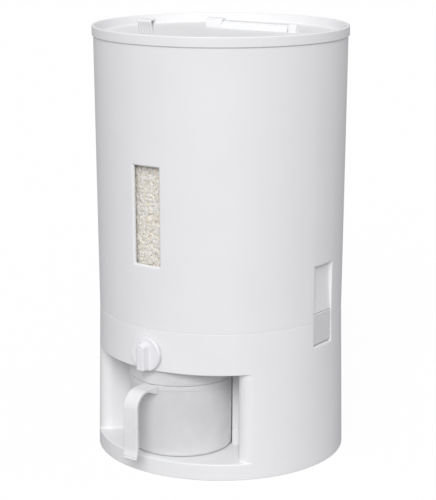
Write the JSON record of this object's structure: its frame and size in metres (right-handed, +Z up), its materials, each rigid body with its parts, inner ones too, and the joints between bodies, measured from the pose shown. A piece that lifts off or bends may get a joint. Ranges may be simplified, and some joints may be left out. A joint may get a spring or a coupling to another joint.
{
  "type": "rice storage bucket",
  "caption": "Round upright rice dispenser with a hinged lid flap, window, turn-knob drum valve, side latches and a measuring cup in a front alcove.",
  "frame": {"origin": "centre of the base's flat underside, on the drum's axis", "axes": "+Z up along the drum's axis, front with the cup and knob towards -Y, +X to its right seen from the front"},
  "size_m": [0.252, 0.2795, 0.44],
  "materials": {
    "white_shell": "satin moulded white",
    "white_knob": "smooth moulded white",
    "frosted_cup": "frosted",
    "hopper_plastic": "moulded",
    "valve_plastic": "moulded",
    "bush_plastic": "turned",
    "steel": "plated",
    "soft_rubber": "matt",
    "clear_pane": "clear",
    "rice_grain": "grains"
  },
  "bodies": {
    "root": {"base_shell": "white_shell", "bottom_plate": "white_shell", "bottom_screws": "steel", "floor_pads": "soft_rubber", "spout_collar": "white_shell", "deck_screws": "steel", "valve_housing": "valve_plastic", "housing_cap": "valve_plastic", "cap_screws": "steel", "rear_bush": "bush_plastic", "front_bush": "bush_plastic", "throat_gasket": "soft_rubber", "hopper_funnel": "hopper_plastic", "funnel_screws": "steel", "barrel_shell": "white_shell", "window_pane": "clear_pane", "window_seal": "soft_rubber", "rice_fill": "rice_grain", "lid_ring": "white_shell", "lid_seal": "soft_rubber", "hinge_pin": "steel", "latch_pins": "steel"},
    "flap": {"lid_flap": "white_shell", "flap_seal": "soft_rubber"},
    "valve": {"knob": "white_knob", "valve_shaft": "steel", "shaft_clip": "steel", "valve_drum": "valve_plastic"},
    "right_latch": {"latch_right": "white_shell"},
    "left_latch": {"latch_left": "white_shell"},
    "cup": {"measuring_cup": "frosted_cup"}
  },
  "joints": [
    {"name": "flap_hinge", "type": "hinge", "parent": "root", "child": "flap", "pos_m": [0, 0.048, 0.421], "axis": [-1, 0, 0], "range_deg": [0, 105]},
    {"name": "knob_turn", "type": "hinge", "parent": "root", "child": "valve", "pos_m": [0, -0.068, 0.121], "axis": [0, 1, 0], "range_deg": [0, 90]},
    {"name": "right_latch_swing", "type": "hinge", "parent": "root", "child": "right_latch", "pos_m": [0.11723, 0, 0.1246], "axis": [0, 1, 0], "range_deg": [0, 25]},
    {"name": "left_latch_swing", "type": "hinge", "parent": "root", "child": "left_latch", "pos_m": [-0.11723, 0, 0.1246], "axis": [0, -1, 0], "range_deg": [0, 25]},
    {"name": "cup_slide", "type": "slide", "parent": "root", "child": "cup", "axis": [0, -1, 0], "range_m": [0, 0.12]}
  ]
}
